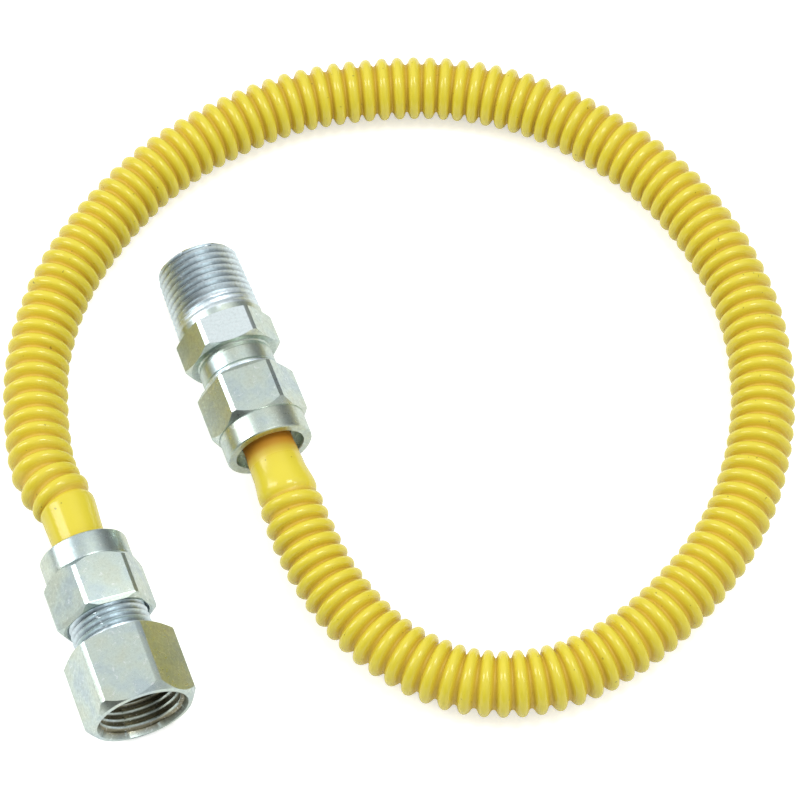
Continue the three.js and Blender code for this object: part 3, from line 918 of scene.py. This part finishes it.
def male_body(name, sizes):
    """The male adapter: taper pipe thread, hexagon and flare thread turned on one bar."""
    neck = sizes.neck_length / MM
    top = neck + sizes.male_hexagon / MM
    obj = turned_hexagon(
        name, sizes.male_across_flats, sizes.nut_corner, (neck, top), MALE_TURNED, BODY_AROUND)
    soften(obj, EDGE)
    shank = top + SHANK_LENGTH
    tip = shank + PIPE_LENGTH
    tip_radius = sizes.pipe_radius / MM
    shank_radius = tip_radius + PIPE_LENGTH * PIPE_TAPER
    pitch = sizes.pipe_pitch / MM
    low_step, high_step = SHANK_STEPS
    chamfer_start, chamfer_end, chamfer = PIPE_TIP_CHAMFER
    cut_start, cut_end = PIPE_CUT
    before, wider = PIPE_END
    thread = thread_rows(shank, tip - before, pitch, shank_radius, tip_radius + wider)
    nose = thread_rows(
        tip - chamfer_start, tip - chamfer_end, pitch, tip_radius, tip_radius - chamfer)
    stem = turn("stem", [
        *flare_profile(sizes, MALE_THREAD_END), *MALE_RELIEF,
        *((radius, neck + up) for radius, up in MALE_NECK),
        *((radius, top + up) for radius, up in MALE_CORE),
        (shank_radius - low_step[0], top + low_step[1]),
        (shank_radius - high_step[0], shank + high_step[1]),
        *thread, *nose, (tip_radius - PIPE_TIP_RIM, tip)], BODY_AROUND)
    cut_flare_thread(stem, sizes, MALE_THREAD_END)
    cut_thread(
        stem, ((shank - cut_start) * MM, (tip - cut_end) * MM), sizes.pipe_pitch,
        (shank_radius * MM, tip_radius * MM), sizes.pipe_depth, (PIPE_FADE * MM, 0.0))
    combine(obj, stem, "UNION")
    bore = turn("bore", [
        GAS_WAY, *((radius, tip - before) for radius, before in PIPE_BORE)], STEM_AROUND)
    combine(obj, bore, "DIFFERENCE")
    return obj


def on_fitting(obj, place, faces_back):
    """Heights and radii of a laid fitting's vertices on its own axis, in millimetres."""
    points = coordinates(obj)
    height = (points[:, 1] - place.y) * (-1 if faces_back else 1) / MM
    return height, np.hypot(points[:, 0] - place.x, points[:, 2] - place.z) / MM


def mark_zones(obj, name, place, faces_back, zones):
    """Paints 1 in each of the zones, and 0 elsewhere."""
    height, radius = on_fitting(obj, place, faces_back)
    mark = np.zeros(len(height))
    for low, high, inner, outer in zones:
        mark[(height > low) & (height < high) & (radius > inner) & (radius < outer)] = 1
    paint(obj, name, mark)


def mark_roots(obj, place, faces_back, threads):
    """Paints how deep each of the threads is, for painted shade: 0 on a crest, 1 at a root."""
    height, radius = on_fitting(obj, place, faces_back)
    mark = np.zeros(len(height))
    for low, high, first, last, depth in threads:
        crest = first + (last - first) * (height - low) / (high - low)
        inside = (height > low) & (height < high) & (radius > crest - ROOT_REACH * depth)
        mark[inside] = np.clip((crest - radius) / depth, 0, 1)[inside]
    paint(obj, "root", mark)


# Materials

def add_node(tree, kind, inputs=(), output=0, stops=(), **settings):
    """Adds a node with its settings, inputs and colour ramp's stops, and returns its output.

    An input is a number, a colour or another node's output. A stop is (place, colour or grey).
    """
    made = tree.nodes.new(kind)
    for name, value in settings.items():
        setattr(made, name, value)
    for name, value in dict(inputs).items():
        socket = made.inputs[name]
        if isinstance(value, bpy.types.NodeSocket):
            tree.links.new(value, socket)
        else:
            socket.default_value = (*value[:3], 1) if socket.type == "RGBA" else value
    elements = made.color_ramp.elements if stops else ()
    while len(elements) < len(stops):
        elements.new(0.5)
    for element, (place, tone) in zip(elements, stops):
        element.position = place
        element.color = (*((tone, tone, tone) if isinstance(tone, float) else tone[:3]), 1)
    return made.outputs[output] if made.outputs else None


def new_material(name):
    """A node material with an empty tree."""
    material = bpy.data.materials.new(name)
    material.use_nodes = True
    tree = material.node_tree
    tree.nodes.clear()
    return material, tree


def coat_material(colours):
    """Glossy yellow polymer, extruded over the rings: it gives a clean, wet-looking shine on each
    crest. Painted shade makes it a deeper, more orange yellow on the flanks, in the grooves and by
    the nuts."""
    material, tree = new_material("extruded_yellow_polymer")
    coords = add_node(tree, "ShaderNodeTexCoord", output="Object")
    groove = add_node(tree, "ShaderNodeAttribute", output="Fac", attribute_name="groove")
    patch = add_node(tree, "ShaderNodeTexNoise", {"Vector": coords, **PATCH})
    speck = add_node(tree, "ShaderNodeTexNoise", {"Vector": coords, **SPECK})
    grit = add_node(tree, "ShaderNodeTexNoise", {"Vector": coords, **GRIT})
    # Painted shade: the groove attribute darkens the yellow towards the flanks, the valleys and the
    # nut
    tone = add_node(tree, "ShaderNodeValToRGB", {"Fac": groove}, stops=(
        (0.0, colours.coat), (0.28, colours.coat_flank_shade), (0.7, colours.coat_shade),
        (1.0, colours.coat_nut_shade)))
    shade = add_node(tree, "ShaderNodeValToRGB", {"Fac": patch}, stops=PATCH_SHADE)
    tone = add_node(tree, "ShaderNodeMix", {0: 1.0, 6: tone, 7: shade}, 2, **MULTIPLY)
    dirt = add_node(tree, "ShaderNodeValToRGB", {"Fac": grit}, stops=GRIT_SHARE)
    tone = add_node(tree, "ShaderNodeMix", {0: dirt, 6: tone, 7: colours.grit}, 2, **MIX)
    gloss = add_node(tree, "ShaderNodeValToRGB", {"Fac": speck}, stops=COAT_GLOSS)
    valley = add_node(tree, "ShaderNodeValToRGB", {"Fac": groove}, stops=VALLEY_SHARE)
    gloss = add_node(tree, "ShaderNodeMix", {0: valley, 6: gloss, 7: [VALLEY_GLOSS] * 3}, 2, **MIX)
    bump = add_node(tree, "ShaderNodeBump", {"Height": speck, **COAT_BUMP})
    shader = add_node(tree, "ShaderNodeBsdfPrincipled", {
        "Base Color": tone, "Roughness": gloss, "Normal": bump, "IOR": 1.5})
    add_node(tree, "ShaderNodeOutputMaterial", {"Surface": shader})
    return material


def zinc_material(name, colours, roughness):
    """Zinc electroplate on turned steel: a satin silver with a faint green tint, clouds of blue and
    straw from its passivation, a fine mottle, and a few pale scratches from tumbling."""
    material, tree = new_material(name)
    coords = add_node(tree, "ShaderNodeTexCoord", output="Object")
    thread, socket_inner, root, top_light = (
        add_node(tree, "ShaderNodeAttribute", output="Fac", attribute_name=painted)
        for painted in ("thread", "socket_inner", "root", "top_light"))
    cloud = add_node(tree, "ShaderNodeTexNoise", {"Vector": coords, **CLOUD})
    mottle = add_node(tree, "ShaderNodeTexNoise", {"Vector": coords, **MOTTLE})
    scratch = add_node(tree, "ShaderNodeTexNoise", {"Vector": coords, **SCRATCH})
    drawn = add_node(tree, "ShaderNodeMapping", {"Vector": coords, "Scale": STREAK_STRETCH})
    streak = add_node(tree, "ShaderNodeTexNoise", {"Vector": drawn, **STREAK})
    tone = add_node(tree, "ShaderNodeValToRGB", {"Fac": cloud}, stops=(
        (0.35, colours.zinc_cool), (0.5, colours.zinc), (0.65, colours.zinc_warm)))
    tone = add_node(tree, "ShaderNodeMix", {0: thread, 6: tone, 7: colours.zinc_thread}, 2, **MIX)
    # Painted light: a lighter zinc on the male hexagon's upper flat
    tone = add_node(tree, "ShaderNodeMix", {0: top_light, 6: tone, 7: colours.zinc_top_light}, 2, **MIX)
    # Painted shade: darker zinc towards the thread roots
    depth = add_node(tree, "ShaderNodeValToRGB", {"Fac": root}, stops=ROOT_SHADE)
    tone = add_node(tree, "ShaderNodeMix", {0: 1.0, 6: tone, 7: depth}, 2, **MULTIPLY)
    # A darker olive zinc over the inside of the pipe socket
    tone = add_node(tree, "ShaderNodeMix", {0: socket_inner, 6: tone, 7: colours.zinc_socket_inner}, 2, **MIX)
    shade = add_node(tree, "ShaderNodeValToRGB", {"Fac": mottle}, stops=MOTTLE_SHADE)
    tone = add_node(tree, "ShaderNodeMix", {0: 1.0, 6: tone, 7: shade}, 2, **MULTIPLY)
    marks = add_node(tree, "ShaderNodeValToRGB", {"Fac": scratch}, stops=SCRATCH_SHARE)
    tone = add_node(tree, "ShaderNodeMix", {0: marks, 6: tone, 7: colours.zinc_scratch}, 2, **MIX)
    rougher, smoother = MOTTLE_GLOSS
    gloss = add_node(tree, "ShaderNodeValToRGB", {"Fac": mottle}, stops=(
        (0.3, roughness + rougher), (0.7, roughness - smoother)))
    gloss = add_node(tree, "ShaderNodeMix", {0: thread, 6: gloss, 7: [THREAD_GLOSS] * 3}, 2, **MIX)
    bump = add_node(tree, "ShaderNodeBump", {"Height": streak, **ZINC_BUMP})
    shader = add_node(tree, "ShaderNodeBsdfPrincipled", {
        "Base Color": tone, "Metallic": 1.0, "Roughness": gloss, "Normal": bump})
    add_node(tree, "ShaderNodeOutputMaterial", {"Surface": shader})
    return material


def tube_material(colours):
    """Annealed stainless steel, formed into rings: a grey metal with soft marks from the rolls."""
    material, tree = new_material("formed_stainless_steel")
    coords = add_node(tree, "ShaderNodeTexCoord", output="Object")
    marks = add_node(tree, "ShaderNodeTexNoise", {"Vector": coords, **ROLL_MARK})
    tone = add_node(tree, "ShaderNodeValToRGB", {"Fac": marks}, stops=(
        (0.3, colours.tube_mark), (0.7, colours.tube_steel)))
    gloss = add_node(tree, "ShaderNodeValToRGB", {"Fac": marks}, stops=STEEL_GLOSS)
    shader = add_node(tree, "ShaderNodeBsdfPrincipled", {
        "Base Color": tone, "Metallic": 1.0, "Roughness": gloss})
    add_node(tree, "ShaderNodeOutputMaterial", {"Surface": shader})
    return material


def floor_material(colours):
    """Matt white paper, seen by the camera and by the metal as bright as its lit part, with the
    object's soft shadow left on it."""
    material, tree = new_material("matt_white_paper")
    coords = add_node(tree, "ShaderNodeTexCoord", output="Object")
    grain = add_node(tree, "ShaderNodeTexNoise", {"Vector": coords, **PAPER_GRAIN})
    shade = add_node(tree, "ShaderNodeValToRGB", {"Fac": grain}, stops=PAPER_SHADE)
    tone = add_node(tree, "ShaderNodeMix", {0: 1.0, 6: colours.floor, 7: shade}, 2, **MULTIPLY)
    matt = add_node(tree, "ShaderNodeBsdfDiffuse", {"Color": tone})
    camera, glossy, through = (
        add_node(tree, "ShaderNodeLightPath", output=f"Is {ray} Ray")
        for ray in ("Camera", "Glossy", "Transmission"))
    seen = add_node(tree, "ShaderNodeMath", {0: camera, 1: through}, operation="MAXIMUM")
    mirrored = add_node(
        tree, "ShaderNodeMath", {0: glossy, 1: FLOOR_LIFT_IN_METAL}, operation="MULTIPLY")
    lift = add_node(
        tree, "ShaderNodeMath", {0: seen, 1: FLOOR_LIFT, 2: mirrored}, operation="MULTIPLY_ADD")
    glow = add_node(tree, "ShaderNodeEmission", {"Strength": lift})
    both = add_node(tree, "ShaderNodeAddShader", {0: matt, 1: glow})
    add_node(tree, "ShaderNodeOutputMaterial", {"Surface": both})
    return material


def wear(obj, material):
    """Gives an object its one material."""
    obj.data.materials.clear()
    obj.data.materials.append(material)


def stand_for(obj, body, node, material):
    """Gives a piece its material, the body that it rides on, and the node that it replaces."""
    wear(obj, material)
    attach(obj, body)
    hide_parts(node)


# Stage

def add_softbox(name, place, target, size, watts):
    """A rectangular studio light that looks at a point."""
    data = bpy.data.lights.new(name, "AREA")
    data.shape = "RECTANGLE"
    data.size, data.size_y = size
    data.energy = watts
    obj = bpy.data.objects.new(name, data)
    bpy.context.scene.collection.objects.link(obj)
    obj.location = place
    obj.rotation_euler = (Vector(target) - Vector(place)).to_track_quat("-Z", "Y").to_euler()


def add_camera():
    """The photograph's view: from the front and above, a little from the left."""
    azimuth, elevation = math.radians(CAMERA_AZIMUTH), math.radians(CAMERA_ELEVATION)
    back = Vector((
        math.sin(azimuth) * math.cos(elevation), -math.cos(azimuth) * math.cos(elevation),
        math.sin(elevation)))
    data = bpy.data.cameras.new("camera")
    data.sensor_width = CAMERA_SENSOR
    data.lens = CAMERA_LENS
    data.dof.use_dof = False
    obj = bpy.data.objects.new("camera", data)
    bpy.context.scene.collection.objects.link(obj)
    obj.location = Vector(CAMERA_TARGET) * MM + back * CAMERA_DISTANCE * MM
    obj.rotation_euler = (-back).to_track_quat("-Z", "Y").to_euler()
    bpy.context.scene.camera = obj


def light_world():
    """A pale sky: darker near the horizon, where a studio's walls are, and behind the camera."""
    world = bpy.data.worlds.new("studio")
    bpy.context.scene.world = world
    world.use_nodes = True
    tree = world.node_tree
    tree.nodes.clear()
    coords = add_node(tree, "ShaderNodeTexCoord", output="Generated")
    height = add_node(tree, "ShaderNodeSeparateXYZ", {"Vector": coords}, "Z")
    sky = add_node(tree, "ShaderNodeValToRGB", {"Fac": height}, stops=SKY)
    for direction, start, end, level in DARK_SIDES:
        near = add_node(
            tree, "ShaderNodeVectorMath", {0: coords, 1: direction}, "Value",
            operation="DOT_PRODUCT")
        side = add_node(
            tree, "ShaderNodeValToRGB", {"Fac": near}, stops=((start, 1.0), (end, level)))
        sky = add_node(tree, "ShaderNodeMix", {0: 1.0, 6: sky, 7: side}, 2, **MULTIPLY)
    glow = add_node(tree, "ShaderNodeBackground", {"Color": sky, "Strength": 1.0})
    add_node(tree, "ShaderNodeOutputWorld", {"Surface": glow})


def add_floor(colours):
    """The plain floor that the hose lies on."""
    obj = new_primitive(
        "floor", bpy.ops.mesh.primitive_plane_add, size=FLOOR_WIDTH,
        location=(0, 0, -FLOOR_DROP))
    wear(obj, floor_material(colours))


# Add-on

def settings():
    """The scene's three groups of sizes and colours."""
    scene = bpy.context.scene
    return scene.gas_hose_sizes, scene.gas_hose_fittings, scene.gas_hose_colours


class GASHOSE_OT_stage(bpy.types.Operator):
    """Sets up the camera, the lights and the floor"""

    bl_idname = "gashose.stage"
    bl_label = "Stage"

    def execute(self, context):
        add_camera()
        light_world()
        for lamp in LAMPS:
            add_softbox(*lamp)
        add_floor(settings()[2])
        return {"FINISHED"}


class GASHOSE_OT_hose(bpy.types.Operator):
    """Models the coated corrugated hose and the steel tube in it"""

    bl_idname = "gashose.hose"
    bl_label = "Hose"

    def execute(self, context):
        sizes, _, colours = settings()
        line = HoseLine(hose_line())
        tube = make_tube(sizes, line)
        stand_for(tube, "hose", "corrugated_tube", tube_material(colours))
        coat = make_coat(sizes, line)
        stand_for(coat, "hose", "hose_coat", coat_material(colours))
        return {"FINISHED"}


class GASHOSE_OT_nuts(bpy.types.Operator):
    """Models the two flare nuts"""

    bl_idname = "gashose.nuts"
    bl_label = "Flare nuts"

    def execute(self, context):
        _, sizes, colours = settings()
        material = zinc_material("zinc_plated_nut_steel", colours, NUT_GLOSS)
        for name, place, back, roll, node in (
            ("female_side_nut", FEMALE_PLACE, True, FEMALE_NUT_ROLL, "female_nut"),
            ("male_side_nut", MALE_PLACE, False, 0.0, "male_nut"),
        ):
            nut = lay(nut_body(name, sizes, roll), place, back)
            mark_zones(nut, "thread", place, back, NUT_THREAD_ZONES)
            stand_for(nut, node, node, material)
        return {"FINISHED"}


class GASHOSE_OT_female_adapter(bpy.types.Operator):
    """Models the female pipe adapter"""

    bl_idname = "gashose.female_adapter"
    bl_label = "Female adapter"

    def execute(self, context):
        _, sizes, colours = settings()
        adapter = lay(female_body("female_pipe_adapter", sizes), FEMALE_PLACE, True)
        mark_zones(adapter, "thread", FEMALE_PLACE, True, FEMALE_THREAD_ZONES)
        mark_roots(adapter, FEMALE_PLACE, True, FEMALE_ROOTS)
        # Marks the inside of the pipe socket for a darker olive zinc
        mark_zones(adapter, "socket_inner", FEMALE_PLACE, True, FEMALE_SOCKET_ZONES)
        material = zinc_material("zinc_plated_socket_steel", colours, SOCKET_GLOSS)
        stand_for(adapter, "female_adapter", "female_adapter", material)
        return {"FINISHED"}


class GASHOSE_OT_male_adapter(bpy.types.Operator):
    """Models the male pipe adapter"""

    bl_idname = "gashose.male_adapter"
    bl_label = "Male adapter"

    def execute(self, context):
        _, sizes, colours = settings()
        adapter = lay(male_body("male_pipe_adapter", sizes), MALE_PLACE, False)
        mark_zones(adapter, "thread", MALE_PLACE, False, MALE_THREAD_ZONES)
        mark_roots(adapter, MALE_PLACE, False, MALE_ROOTS)
        # Painted light: the male hexagon's upper flat is marked to be painted lighter
        upper_flat = MALE_PLACE.z + sizes.male_across_flats / 2 - EDGE * MM
        paint(adapter, "top_light", coordinates(adapter)[:, 2] > upper_flat)
        material = zinc_material("zinc_plated_pipe_steel", colours, PIPE_GLOSS)
        stand_for(adapter, "male_adapter", "male_adapter", material)
        return {"FINISHED"}


class GASHOSE_PT_panel(bpy.types.Panel):
    """Lists the hose's sizes, colours and pieces"""

    bl_idname = "GASHOSE_PT_panel"
    bl_label = "Flexible gas hose"
    bl_space_type = "VIEW_3D"
    bl_region_type = "UI"
    bl_category = "Gas hose"

    def draw(self, context):
        for group in settings():
            box = self.layout.box()
            for name in group.__annotations__:
                box.prop(group, name)
        for operator in OPERATORS:
            self.layout.operator(operator.bl_idname)


GROUPS = (GasHoseSizes, GasHoseFittingSizes, GasHoseColours)
OPERATORS = (
    GASHOSE_OT_stage, GASHOSE_OT_hose, GASHOSE_OT_nuts, GASHOSE_OT_female_adapter,
    GASHOSE_OT_male_adapter)


def register():
    """Registers the add-on's classes and their settings."""
    for cls in (*GROUPS, *OPERATORS, GASHOSE_PT_panel):
        bpy.utils.register_class(cls)
    bpy.types.Scene.gas_hose_sizes = bpy.props.PointerProperty(type=GasHoseSizes)
    bpy.types.Scene.gas_hose_fittings = bpy.props.PointerProperty(type=GasHoseFittingSizes)
    bpy.types.Scene.gas_hose_colours = bpy.props.PointerProperty(type=GasHoseColours)


def unregister():
    """Takes back what register has done."""
    del bpy.types.Scene.gas_hose_colours
    del bpy.types.Scene.gas_hose_fittings
    del bpy.types.Scene.gas_hose_sizes
    for cls in reversed((*GROUPS, *OPERATORS, GASHOSE_PT_panel)):
        bpy.utils.unregister_class(cls)


def main():
    """Models the whole scene."""
    register()
    bpy.context.scene.view_settings.view_transform = "Standard"
    bpy.ops.gashose.stage()
    bpy.ops.gashose.hose()
    bpy.ops.gashose.nuts()
    bpy.ops.gashose.female_adapter()
    bpy.ops.gashose.male_adapter()


if __name__ == "__main__":
    main()
